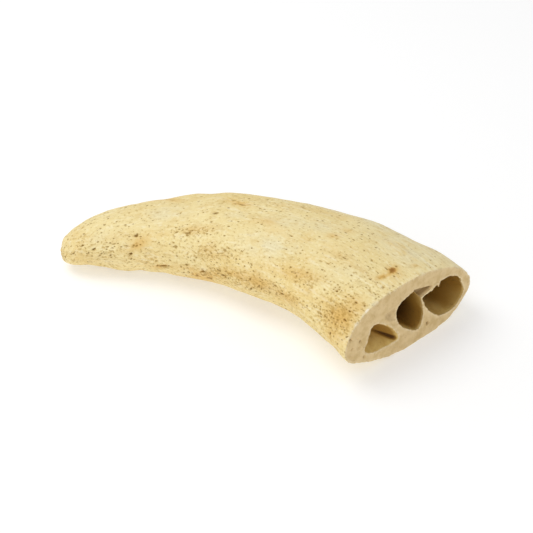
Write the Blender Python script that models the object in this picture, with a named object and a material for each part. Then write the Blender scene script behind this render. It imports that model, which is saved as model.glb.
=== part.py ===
"""Buffalo horn core, sawn off near the skull: one curved piece of bone with three blind chambers.

The bone lies on its belly. Its saw cut faces +X, its tip curves round towards -Y, and the origin is
the middle of its footprint on the surface that it lies on. Lengths are in metres.
"""

import math

import bmesh
import bpy
import numpy as np
from mathutils import Matrix, Vector, noise

MM = 0.001

# Driving dimensions of the bone
LENGTH = 167 * MM  # along the curved centreline, from the saw cut to the tip
CUT_WIDTH = 71.8 * MM
CUT_HEIGHT = 36.2 * MM
TIP_START = 0.81  # share of the length where the blunt tip begins to close
TIP_BLUNTNESS = 2.6
BELLY_SINK = 0.7 * MM  # how much of the belly is worn flat
ROUND_SECTION_AT = 0.75  # share of the length where the section has become a plain oval

# Mesh density
RINGS = 46
AROUND = 66
MOUTH_POINTS = 26
CHAMBER_RINGS = 11
CUT_CLEARANCE = 1 * MM  # how far a cutter stands out of the face that it cuts

# Outline of the saw cut, seen from outside: across from the concave edge (-) to the convex edge (+),
# and up from the belly, in millimetres
CUT_OUTLINE = [
    (-36.3, 16.0), (-36.2, 22.5), (-31.5, 29.6), (-22.0, 34.8), (-10.0, 37.0), (3.0, 35.9),
    (14.5, 32.8), (25.5, 28.3), (33.0, 22.3), (35.9, 15.6), (32.8, 9.6), (26.5, 3.8),
    (17.0, 0.8), (4.0, 0.0), (-9.0, 1.8), (-21.5, 5.6), (-31.5, 10.2),
]

# Chambers: mouth outline and centre in the same coordinates, the share of the mouth's size that is
# left at the throat, how far in the throat is, depth along the bone, how blunt the far end is
CHAMBERS = {
    "concave_chamber": {
        "mouth": [
            (-23.4, 23.2), (-21.0, 24.0), (-17.8, 22.8), (-13.2, 19.1), (-9.8, 15.4), (-7.2, 10.6),
            (-7.9, 8.2), (-15.5, 8.9), (-20.7, 9.6), (-25.0, 11.6), (-26.4, 14.4), (-24.9, 17.6),
        ],
        "centre": (-23.0, 18.0),
        "throat": 0.48,
        "throat_at": 9 * MM,
        "depth": 34 * MM,
        "bluntness": 2.2,
    },
    "middle_chamber": {
        "mouth": [
            (0.0, 29.8), (-3.4, 28.8), (-7.6, 27.2), (-9.4, 23.7), (-8.0, 18.6), (-4.6, 13.6),
            (0.2, 9.4), (4.4, 7.2), (6.6, 9.4), (7.4, 13.8), (6.4, 18.6), (4.4, 24.6),
        ],
        "centre": (-0.5, 19.5),
        "throat": 1.0,
        "throat_at": 9 * MM,
        "depth": 74 * MM,
        "bluntness": 2.2,
    },
    "convex_chamber": {
        "mouth": [
            (6.6, 22.4), (8.2, 23.8), (11.6, 23.6), (15.0, 25.0), (17.8, 26.2), (21.5, 26.1),
            (26.2, 23.6), (29.0, 20.9), (31.6, 14.8), (31.3, 11.4), (28.4, 7.6), (24.7, 6.4),
            (19.6, 6.7), (15.4, 9.0), (11.2, 13.4), (8.4, 18.0),
        ],
        "centre": (19.0, 17.0),
        "throat": 1.0,
        "throat_at": 9 * MM,
        "depth": 66 * MM,
        "bluntness": 2.0,
    },
}

# Broken recess in the wall above the middle and the convex chamber
RECESS_OUTLINE = [
    (0.2, 30.4), (6.0, 28.6), (11.4, 26.8), (10.6, 25.9), (5.4, 25.2), (3.4, 25.2), (-0.6, 29.0),
]
RECESS_DEPTH = 4.2 * MM
RECESS_TAPER = 0.85

# Pores in the saw cut: across, up, radius and depth, in millimetres
CUT_PORES = [(10.6, 7.3, 1.0, 3.0), (-29.0, 20.1, 0.9, 2.0), (-26.4, 10.4, 0.8, 1.6)]
PORE_SIDES = 8
PORE_TAPER = 0.55

# Swellings and hollows of the outer surface: along (mm from the cut), around (degrees, 0 on the
# convex edge, 90 on top, 180 on the concave edge), length and breadth (mm), height (mm, - is a hollow)
SWELLINGS = [
    (2, 184, 14, 16, 1.4),
    (46, 192, 26, 20, -2.7),
    (18, 62, 36, 20, 1.3),
    (34, 140, 44, 9, 0.8),
    (80, 135, 46, 8, 0.9),
    (96, 58, 34, 16, 0.7),
    (97, 96, 10, 8, 0.6),
    (107, 202, 16, 12, -0.9),
    (113, 78, 9, 9, -0.7),
    (121, 204, 12, 12, -0.7),
    (129, 200, 8, 8, -1.4),
    (149, 212, 13, 12, -2.6),
    (84, 66, 150, 14, 0.4),
    (163, 250, 8, 9, 0.9),
    (166, 80, 9, 12, -0.6),
    (166, 140, 5, 7, -1.6),
]

# Gouges and large pits: along (mm), around (degrees), length, breadth and depth (mm), turn from the
# grain (degrees)
GOUGES = [
    (9, 96, 3.6, 3.0, 0.9, 10),
    (6, 153, 5.2, 1.8, 0.9, -30),
    (69, 153, 4.0, 2.0, 0.9, 10),
    (85, 184, 3.6, 2.0, 0.9, 10),
    (88, 77, 9.5, 2.2, 0.9, 4),
    (96, 100, 5.4, 2.2, 0.9, -6),
    (104, 129, 9.0, 2.6, 1.0, 6),
    (112, 102, 3.4, 1.8, 0.8, 8),
    (119, 195, 7.0, 2.6, 1.3, 0),
    (129, 108, 2.8, 2.0, 0.9, 0),
    (132, 135, 4.2, 2.4, 1.1, 0),
    (135, 165, 3.2, 2.8, 1.4, 0),
    (144, 166, 2.4, 2.2, 1.1, 0),
    (145, 85, 3.4, 1.8, 0.9, -10),
    (149, 163, 2.4, 2.4, 1.2, 0),
    (153, 150, 4.4, 1.8, 1.0, 40),
]

# Uneven growth all over: size of the lumps and of the lengthwise ridges, and their heights
LUMP_SIZE = 19 * MM
LUMP_HEIGHT = 0.75 * MM
RIDGE_LENGTH = 46 * MM
RIDGE_BREADTH = 7.5 * MM
RIDGE_HEIGHT = 0.42 * MM
CHAMBER_LUMP_SIZE = 9 * MM
CHAMBER_LUMP_HEIGHT = 0.5 * MM

BONE_COLOUR = (0.78, 0.69, 0.50, 1.0)
BONE_ROUGHNESS = 0.75


def heading(t):
    """Direction of growth, as an angle turned from -X towards -Y, at share t of the length."""
    return np.radians(33.9 * t + 57.5 * t**2 - 27.0 * t**3)


def width(t):
    return CUT_WIDTH * (1 - 0.26 * t - 0.90 * t**2 + 0.475 * t**3)


def height(t):
    return width(t) * (CUT_HEIGHT / CUT_WIDTH + 0.40 * t)


def closing(t):
    """Share of the section's size that is left as the blunt tip closes."""
    past = np.clip((t - TIP_START) / (1 - TIP_START), 0, 1)
    return np.sqrt(np.clip(1 - past**TIP_BLUNTNESS, 0, 1))


def spine(t):
    """Point of the centreline in plan, before the shift to the origin."""
    fine = np.linspace(0, 1, 801)
    turn = heading(fine)
    step = LENGTH / (len(fine) - 1)
    middle = (turn[1:] + turn[:-1]) / 2
    x = np.concatenate([[0], np.cumsum(-np.cos(middle) * step)])
    y = np.concatenate([[0], np.cumsum(-np.sin(middle) * step)])
    return np.interp(t, fine, x), np.interp(t, fine, y)


def smooth_loop(points, count):
    """A closed Catmull-Rom curve through the points, as count points at even distances."""
    points = np.array(points, float)
    parts = np.linspace(0, 1, 40, endpoint=False)[:, None]
    before, after, beyond = (np.roll(points, shift, axis=0) for shift in (1, -1, -2))
    curve = []
    for p0, p1, p2, p3 in zip(before, points, after, beyond):
        bend = 2 * p0 - 5 * p1 + 4 * p2 - p3
        twist = 3 * p1 - p0 - 3 * p2 + p3
        curve.append(0.5 * (2 * p1 + (p2 - p0) * parts + bend * parts**2 + twist * parts**3))
    curve = np.concatenate(curve)
    closed = np.vstack([curve, curve[:1]])
    reach = np.concatenate([[0], np.cumsum(np.linalg.norm(np.diff(closed, axis=0), axis=1))])
    wanted = np.linspace(0, reach[-1], count, endpoint=False)
    return np.stack([np.interp(wanted, reach, closed[:, axis]) for axis in (0, 1)], axis=-1)


def unit_cut(count):
    """The saw cut's outline, scaled to run from -1 to 1 both ways, starting at the convex edge."""
    half = np.array([CUT_WIDTH / 2, CUT_HEIGHT / 2]) / MM
    loop = (smooth_loop(CUT_OUTLINE, count) - [0, half[1]]) / half
    if np.cross(loop[0], loop[1]) < 0:
        loop = loop[::-1]
    return np.roll(loop, -int(np.argmax(loop[:, 0])), axis=0)


def section(t, cut):
    """Section at share t: across and up in metres, from the cut's outline to a plain oval."""
    blend = np.clip(t / ROUND_SECTION_AT, 0, 1)
    blend = blend**2 * (3 - 2 * blend)
    oval = cut / np.linalg.norm(cut, axis=1, keepdims=True)
    unit = cut * (1 - blend) + oval * blend
    across = unit[:, 0] * width(t) * closing(t) / 2
    up = height(t) / 2 + unit[:, 1] * height(t) * closing(t) / 2
    return across, up - BELLY_SINK


def place(t, across, up):
    """Points in space of a section at share t."""
    x, y = spine(t)
    turn = heading(t)
    return np.stack([x - np.sin(turn) * across, y + np.cos(turn) * across, up + 0 * across], axis=-1)


def noise_at(points, size, seed):
    offset = Vector((seed * 7.3, seed * 3.1, seed * 5.7))
    return np.array([noise.noise(Vector(point) / size + offset) for point in points])


def swelling(along, around, t):
    """Height of the named swellings and hollows where the surface is this far along and around."""
    total = np.zeros(len(along))
    girth = math.pi * (width(t) + height(t)) / 2 * closing(t)
    for s, angle, length, breadth, rise in SWELLINGS:
        turn = (around - angle + 180) % 360 - 180
        sideways = turn / 360 * girth
        reach = ((along - s * MM) / (length * MM)) ** 2 + (sideways / (breadth * MM)) ** 2
        total += rise * MM * np.exp(-2 * reach)
    return total


def outer_grid(rings, around):
    """Points of the outer surface, ring by ring from the saw cut to the tip, and the tip itself."""
    shares = np.sin(np.linspace(0, math.pi / 2, rings + 1))
    cut = unit_cut(around)
    angles = np.degrees(np.arctan2(cut[:, 1], cut[:, 0]))
    grid = np.array([place(t, *section(t, cut)) for t in shares])
    forward = np.gradient(grid[:-1], axis=0)
    sideways = np.roll(grid[:-1], -1, axis=1) - np.roll(grid[:-1], 1, axis=1)
    outward = np.cross(forward, sideways)
    outward[0, :, 0] = 0
    outward /= np.linalg.norm(outward, axis=2, keepdims=True)
    unswollen_end = grid[-2].mean(axis=0)
    for i, t in enumerate(shares[:-1]):
        along = np.full(around, t * LENGTH)
        ridge_points = np.stack(
            [along / RIDGE_LENGTH, grid[i, :, 2] / RIDGE_BREADTH, np.radians(angles) * 2], axis=-1
        )
        rise = swelling(along, angles, t)
        rise += LUMP_HEIGHT * noise_at(grid[i], LUMP_SIZE, 1)
        rise += RIDGE_HEIGHT * noise_at(ridge_points, 1, 2)
        grid[i] += outward[i] * rise[:, None]
    grid[-1] += grid[-2].mean(axis=0) - unswollen_end
    grid[:, :, 2] = np.maximum(grid[:, :, 2], 0)
    return grid[:-1], grid[-1].mean(axis=0), outward


def to_origin(grid):
    """The shift that puts the middle of the footprint at the origin."""
    low = grid.reshape(-1, 3).min(axis=0)
    high = grid.reshape(-1, 3).max(axis=0)
    return -np.array([(low[0] + high[0]) / 2, (low[1] + high[1]) / 2, 0])


def loft(name, loops, pole=None):
    """A closed mesh through loops of equal counts, capped flat, or drawn to a point at the last loop."""
    shape = bmesh.new()
    rows = [[shape.verts.new(point) for point in loop] for loop in loops]
    count = len(rows[0])
    for near, far in zip(rows, rows[1:]):
        for j in range(count):
            k = (j + 1) % count
            shape.faces.new((near[j], near[k], far[k], far[j]))
    shape.faces.new(rows[0])
    if pole is None:
        shape.faces.new(rows[-1])
    else:
        point = shape.verts.new(pole)
        for j in range(count):
            shape.faces.new((rows[-1][j], rows[-1][(j + 1) % count], point))
    bmesh.ops.recalc_face_normals(shape, faces=shape.faces)
    mesh = bpy.data.meshes.new(name)
    shape.to_mesh(mesh)
    shape.free()
    return bpy.data.objects.new(name, mesh)


def chamber_loops(chamber, seed):
    """Loops of one chamber, from just outside the saw cut to its blind end, and the end's point."""
    mouth = smooth_loop(chamber["mouth"], MOUTH_POINTS) * MM
    centre = np.array(chamber["centre"]) * MM
    outside = place(0, mouth[:, 0], mouth[:, 1] - BELLY_SINK) + [CUT_CLEARANCE, 0, 0]
    loops = [outside]
    for part in np.sin(np.linspace(0, math.pi / 2, CHAMBER_RINGS + 1)):
        deep = part * chamber["depth"]
        t = deep / LENGTH
        shrink = width(t) / CUT_WIDTH
        left = math.sqrt(max(1 - part ** chamber["bluntness"], 0)) * shrink
        left *= 1 - (1 - chamber["throat"]) * min(deep / chamber["throat_at"], 1)
        middle = centre * [shrink, height(t) / CUT_HEIGHT]
        points = middle + (mouth - centre) * left
        loop = place(t, points[:, 0], points[:, 1] - BELLY_SINK)
        bulge = CHAMBER_LUMP_HEIGHT * noise_at(loop, CHAMBER_LUMP_SIZE, seed) * min(1, 3 * part)
        inward = (loop.mean(axis=0) - loop) / (np.linalg.norm(mouth - centre, axis=1)[:, None])
        loops.append(loop + inward * bulge[:, None])
    return loops[:-1], loops[-1].mean(axis=0)


def chamber_cutters(shift):
    cutters = []
    for seed, (name, chamber) in enumerate(CHAMBERS.items(), start=3):
        loops, end = chamber_loops(chamber, seed)
        cutters.append(loft(name, [loop + shift for loop in loops], pole=end + shift))
    return cutters


def recess_cutter(shift):
    outline = np.array(RECESS_OUTLINE) * MM
    loops = []
    for back, scale in ((-CUT_CLEARANCE, 1.0), (0, 1.0), (RECESS_DEPTH, RECESS_TAPER)):
        points = outline.mean(axis=0) + (outline - outline.mean(axis=0)) * scale
        loops.append(place(0, points[:, 0], points[:, 1] - BELLY_SINK) + shift - [back, 0, 0])
    return loft("broken_recess", loops)


def pore_cutters(shift):
    cutters = []
    for number, (across, up, radius, depth) in enumerate(CUT_PORES, start=1):
        length = depth * MM + CUT_CLEARANCE
        shape = bmesh.new()
        bmesh.ops.create_cone(
            shape,
            cap_ends=True,
            segments=PORE_SIDES,
            radius1=radius * MM * PORE_TAPER,
            radius2=radius * MM,
            depth=length,
        )
        mesh = bpy.data.meshes.new(f"cut_pore_{number}")
        shape.to_mesh(mesh)
        shape.free()
        cutter = bpy.data.objects.new(mesh.name, mesh)
        middle = place(0, np.array([across * MM]), np.array([up * MM - BELLY_SINK]))[0]
        middle = middle + shift + [CUT_CLEARANCE - length / 2, 0, 0]
        cutter.matrix_world = Matrix.Translation(middle) @ Matrix.Rotation(math.pi / 2, 4, "Y")
        cutters.append(cutter)
    return cutters


def gouge_cutters(grid, outward, shift):
    """Ellipsoids half sunk in the outer surface, turned to lie along the grain."""
    shares = np.sin(np.linspace(0, math.pi / 2, RINGS + 1))[:-1]
    cut = unit_cut(AROUND)
    angles = np.degrees(np.arctan2(cut[:, 1], cut[:, 0])) % 360
    cutters = []
    for number, (s, angle, length, breadth, depth, turn) in enumerate(GOUGES, start=1):
        i = int(np.argmin(np.abs(shares - s * MM / LENGTH)))
        j = int(np.argmin(np.abs((angles - angle + 180) % 360 - 180)))
        normal = Vector(outward[i, j])
        grain = Vector(grid[i + 1, j] - grid[i - 1, j])
        grain = (grain - normal * grain.dot(normal)).normalized()
        side = normal.cross(grain)
        frame = Matrix((grain, side, normal)).transposed().to_4x4()
        shape = bmesh.new()
        bmesh.ops.create_icosphere(shape, subdivisions=2, radius=1)
        size = Matrix.Diagonal((length * MM / 2, breadth * MM / 2, depth * MM, 1))
        turned = Matrix.Rotation(math.radians(turn), 4, "Z")
        bmesh.ops.transform(shape, matrix=frame @ turned @ size, verts=shape.verts)
        mesh = bpy.data.meshes.new(f"gouge_{number}")
        shape.to_mesh(mesh)
        shape.free()
        cutter = bpy.data.objects.new(mesh.name, mesh)
        cutter.location = grid[i, j] + shift
        cutters.append(cutter)
    return cutters


def bone_material():
    material = bpy.data.materials.new("bone")
    material.use_nodes = True
    shader = material.node_tree.nodes["Principled BSDF"]
    shader.inputs["Base Color"].default_value = BONE_COLOUR
    shader.inputs["Roughness"].default_value = BONE_ROUGHNESS
    shader.inputs["Metallic"].default_value = 0
    return material


def collection(name):
    made = bpy.data.collections.new(name)
    bpy.context.scene.collection.children.link(made)
    return made


def clear_scene():
    for obj in list(bpy.data.objects):
        bpy.data.objects.remove(obj, do_unlink=True)


def main():
    clear_scene()
    parts = collection("buffalo_horn_core")
    cutters = collection("cutters")
    cutters.hide_render = True
    grid, tip, outward = outer_grid(RINGS, AROUND)
    shift = to_origin(grid)
    bone = loft("horn_core", list(grid + shift), pole=tip + shift)
    bone.data.materials.append(bone_material())
    parts.objects.link(bone)
    made = chamber_cutters(shift) + pore_cutters(shift) + gouge_cutters(grid, outward, shift)
    made.append(recess_cutter(shift))
    for cutter in made:
        cutters.objects.link(cutter)
        cutter.hide_render = True
        cutter.display_type = "WIRE"
        cut = bone.modifiers.new(f"cut {cutter.name}", "BOOLEAN")
        cut.operation = "DIFFERENCE"
        cut.solver = "EXACT"
        cut.object = cutter
    bone.data.shade_smooth()
    bone.data.set_sharp_from_angle(angle=math.radians(40))


main()
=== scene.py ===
"""Looks of a sawn buffalo horn core: its dense surface, pores, gouges, stains, saw cut and chambers.

Lengths are in metres, and the frame is the solid's own: the saw cut faces +X, the tip curves round
towards -Y, and the bone lies on its belly on z = 0.
"""

import math

import bmesh
import bpy
import numpy as np
from mathutils import Matrix, Vector, noise
from mathutils.geometry import delaunay_2d_cdt


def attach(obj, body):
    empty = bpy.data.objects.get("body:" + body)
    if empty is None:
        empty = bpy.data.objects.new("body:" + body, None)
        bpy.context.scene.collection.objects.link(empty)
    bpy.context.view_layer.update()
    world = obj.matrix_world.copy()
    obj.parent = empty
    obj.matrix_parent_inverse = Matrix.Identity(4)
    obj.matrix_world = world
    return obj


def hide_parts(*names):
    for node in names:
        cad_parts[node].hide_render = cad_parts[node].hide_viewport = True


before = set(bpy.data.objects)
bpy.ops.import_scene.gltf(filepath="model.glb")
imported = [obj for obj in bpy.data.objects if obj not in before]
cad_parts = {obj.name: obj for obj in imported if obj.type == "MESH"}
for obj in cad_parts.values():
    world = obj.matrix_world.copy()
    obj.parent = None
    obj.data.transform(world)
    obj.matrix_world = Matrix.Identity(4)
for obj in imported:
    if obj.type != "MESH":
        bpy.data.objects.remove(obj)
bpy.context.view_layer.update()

MM = 0.001

# Driving dimensions of the bone. BEND (degrees) and TAPER (of the width) multiply the share of its
# length, its square and its cube. The share is 0 at the cut and 1 at the tip.
LENGTH = 167 * MM
CUT_WIDTH = 71.8 * MM
CUT_HEIGHT = 36.2 * MM
BEND = (33.9, 57.5, -27.0)
TAPER = (-0.26, -0.90, 0.475)
ROUNDING = 0.40
ROUND_SECTION_AT = 0.75
TIP_START = 0.81
TIP_BLUNTNESS = 2.6
BELLY_SINK = 0.7 * MM

# Spacing of the visible mesh
BODY_STEP = 0.62 * MM
AROUND = 290
TIP_RINGS = 56
FACE_STEP = 0.45 * MM
FACE_JITTER = 0.2
FACE_MARGIN = 0.55 * FACE_STEP
RING_STEP = 0.3 * MM
RING_MARGIN = 0.5 * FACE_STEP
MOUTH_STEP = 0.5 * MM
CHAMBER_RINGS = 24
LIP = 0.3 * MM
SPINE_POINTS = 801
CURVE_PARTS = 40
SHARP_ANGLE = 48

# Seeds of the noises and of the random draws
LUMP_SEED, RIDGE_SEED, CHAMBER_SEED, BLOTCH_SEED, RELIEF_SEED = 1, 2, 3, 6, 7
BUMP_SEED, CHIP_SEED, SAW_SEED, MOUTH_SEED = 20, 21, 31, 40
FACE_SEED, PIT_SEED = 5, 11

# Outline of the saw cut: across from the concave edge (-) to the convex edge (+), and up from the
# belly, in millimetres
CUT_OUTLINE = [
    (-36.3, 16.0), (-36.2, 22.5), (-31.5, 29.6), (-22.0, 34.8), (-10.0, 37.0), (3.0, 35.9),
    (14.5, 32.8), (25.5, 28.3), (33.0, 22.3), (35.9, 15.6), (32.8, 9.6), (26.5, 3.8),
    (17.0, 0.8), (4.0, 0.0), (-9.0, 1.8), (-21.5, 5.6), (-31.5, 10.2),
]

# The blind chambers, which draw in around "centre". A "throat" is a share of the mouth's size and how
# deep it is, and from the sharp corner "crease" a groove runs in. Painted shade darkens the walls until
# "gloom" deep, and the last pair gives how much painted shade darkens the wall towards the convex edge
# and how much painted light lightens the floor.
CHAMBERS = {
    "concave_chamber": {
        "mouth": [
            (-23.4, 23.2), (-21.0, 24.0), (-17.8, 22.8), (-13.2, 19.1), (-9.8, 15.4), (-7.4, 11.6),
            (-6.9, 9.2), (-7.9, 8.2), (-11.0, 8.4), (-15.5, 8.9), (-20.7, 9.6), (-25.0, 11.6),
            (-26.4, 14.4), (-24.9, 17.6),
        ],
        "centre": (-23.0, 18.0),
        "crease": (-7.0, 8.6),
        "throat": (0.14, 12 * MM),
        "depth": 34 * MM,
        "bluntness": 2.2,
        "gloom": 72 * MM,
        "painted_light_and_shade": (0.06, 0.0),
    },
    "middle_chamber": {
        "mouth": [
            (0.0, 29.8), (-3.4, 28.8), (-7.6, 27.2), (-9.4, 23.7), (-8.0, 18.6), (-4.6, 13.6),
            (0.2, 9.4), (4.4, 7.2), (6.6, 9.4), (7.4, 13.8), (6.4, 18.6), (4.4, 24.6), (1.8, 28.8),
        ],
        "centre": (-0.5, 19.5),
        "depth": 74 * MM,
        "bluntness": 2.2,
        "gloom": 36 * MM,
        "painted_light_and_shade": (0.12, -0.45),
    },
    "convex_chamber": {
        "mouth": [
            (5.9, 22.6), (8.0, 24.1), (11.6, 23.8), (12.6, 24.8), (14.4, 25.2), (15.5, 23.5),
            (15.9, 26.0), (17.8, 26.4), (21.5, 26.1), (26.2, 23.6), (29.0, 20.9), (30.2, 17.8),
            (31.6, 14.8), (31.3, 11.4), (28.4, 7.6), (24.7, 6.4), (19.6, 6.7), (15.4, 9.0),
            (11.2, 13.4), (8.0, 18.0),
        ],
        "centre": (19.0, 17.0),
        "depth": 66 * MM,
        "bluntness": 2.0,
        "gloom": 62 * MM,
        "painted_light_and_shade": (0.24, 0.35),
    },
}

# The broken recess beside the middle chamber, less deep by RECESS_SLOPE for each millimetre across
RECESS_OUTLINE = [
    (0.2, 30.4), (6.0, 28.6), (11.4, 26.8), (10.8, 25.9), (6.6, 24.2), (4.8, 23.9), (-0.6, 29.0),
]
RECESS_DEPTH = 4.2 * MM
RECESS_SLOPE = 0.05
RECESS_WALL = 0.6 * MM
RECESS_EDGE = -0.1 * RECESS_WALL
# How dark the painted shade on the recess's floor is
RECESS_SHADE = 0.58
# The faint facet beside it
FACET_OUTLINE = [(-15.8, 26.6), (-9.8, 27.0), (-9.2, 19.6), (-12.8, 21.0), (-15.8, 23.8)]
FACET_DEPTH = 0.75 * MM
FACET_WALL = 2.2 * MM
# How dark the painted shade on the facet is
FACET_SHADE = 0.35
SAW_MARK = 0.05 * MM
# How far in from the rim and the mouths the saw cut is paler: wear and painted highlight
EDGE_WEAR_AND_HIGHLIGHT = 0.75 * MM

# Ragged mouth edges, how much of them the first rings of a chamber take, and how pale those rings are from
# wear and painted highlight
JAG = 0.22 * MM
JAG_SIZE = 1.3 * MM
MOUTH_FADE = (1.0, 0.7, 0.3)
MOUTH_WEAR_AND_HIGHLIGHT = (0.8, 0.3)

# Chips on the rim of the cut, how pale its first rings are from wear and painted highlight, and where there
# are fewer chips: degrees around, breadth and how much less
CHIP = 0.55 * MM
CHIP_SIZE = 2.6 * MM
RIM_WEAR_AND_HIGHLIGHT = (1.0, 0.8, 0.35, 0.1)
SOUND_RIM = (325, 70, 0.65)

# The groove in the concave chamber: the depths between which it and its painted shade begin and end
CREASE_BREADTH = 1.0 * MM
CREASE_DEPTH = 0.9 * MM
CREASE_REACH = ((0.4 * MM, 2 * MM), (5 * MM, 11 * MM))
CREASE_SHADE = ((0.3 * MM, 1.2 * MM), (3 * MM, 9 * MM))
CREASE_FLOOR_SLOPE = 0.33

# Dents in the saw cut: across, up, radius and depth, in millimetres
CUT_DENTS = [
    (10.6, 7.3, 1.0, 2.2), (-34.4, 24.0, 0.9, 1.2), (-29.0, 20.1, 0.8, 1.2), (-29.6, 17.0, 1.0, 0.6),
    (-26.4, 10.4, 0.8, 1.0), (-4.7, 12.8, 0.4, 0.3), (-33.4, 18.6, 0.7, 0.8), (-30.6, 22.4, 0.6, 0.5),
    (20.2, 3.4, 0.5, 0.4), (-17.0, 6.4, 0.5, 0.4), (29.6, 24.0, 0.5, 0.4),
]

# Swellings and hollows: along (mm from the cut), around (degrees, 0 on the convex edge, 90 on top,
# 180 on the concave edge), length and breadth (mm), height (mm, - is a hollow)
SWELLINGS = [
    (2, 184, 14, 16, 1.4), (46, 192, 26, 20, -2.7), (18, 62, 36, 20, 1.3),
    (34, 140, 44, 9, 0.8), (80, 135, 46, 8, 0.9), (96, 58, 34, 16, 0.7),
    (97, 96, 10, 8, 0.6), (107, 202, 16, 12, -0.9), (113, 78, 9, 9, -0.7),
    (121, 204, 12, 12, -0.7), (129, 200, 8, 8, -1.4), (149, 212, 13, 12, -2.6),
    (84, 66, 150, 14, 0.4), (103, 47, 6, 9, -0.8), (121, 48, 5, 8, -0.5),
    (145, 52, 12, 9, 0.7), (50, 209, 13, 9, 0.5), (26, 197, 9, 9, -0.6),
    (7, 197, 8, 9, -0.6), (32, 37, 12, 9, 0.4), (12, 31, 10, 9, 0.4),
    (120, 222, 5, 7, -0.5), (131, 224, 5, 7, -0.4), (142, 228, 7, 8, 0.6),
    (156, 236, 6, 8, -0.9), (161, 50, 5, 6, -0.4), (163, 250, 8, 9, 0.9),
    (165, 225, 3, 5, 0.4), (166, 10, 2.5, 8, -0.5), (166, 80, 9, 12, -0.6),
    (166, 140, 5, 7, -1.6),
]
LUMP_SIZE = 19 * MM
LUMP_HEIGHT = 0.75 * MM
RIDGE_LENGTH = 46 * MM
RIDGE_BREADTH = 7.5 * MM
RIDGE_HEIGHT = 0.42 * MM
CHAMBER_LUMP_SIZE = 9 * MM
CHAMBER_LUMP_HEIGHT = 0.5 * MM
CHAMBER_BUMP_SIZE = 2.6 * MM
CHAMBER_BUMP_HEIGHT = 0.2 * MM

# Camera of the photograph
AZIMUTH = 48.5
ELEVATION = 38.0
DISTANCE = 550 * MM
TARGET_FROM_CUT = (-61.3 * MM, -23.7 * MM, 18 * MM)
LENS = 88.45
SENSOR = 36.0
PICTURE = 533

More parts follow.
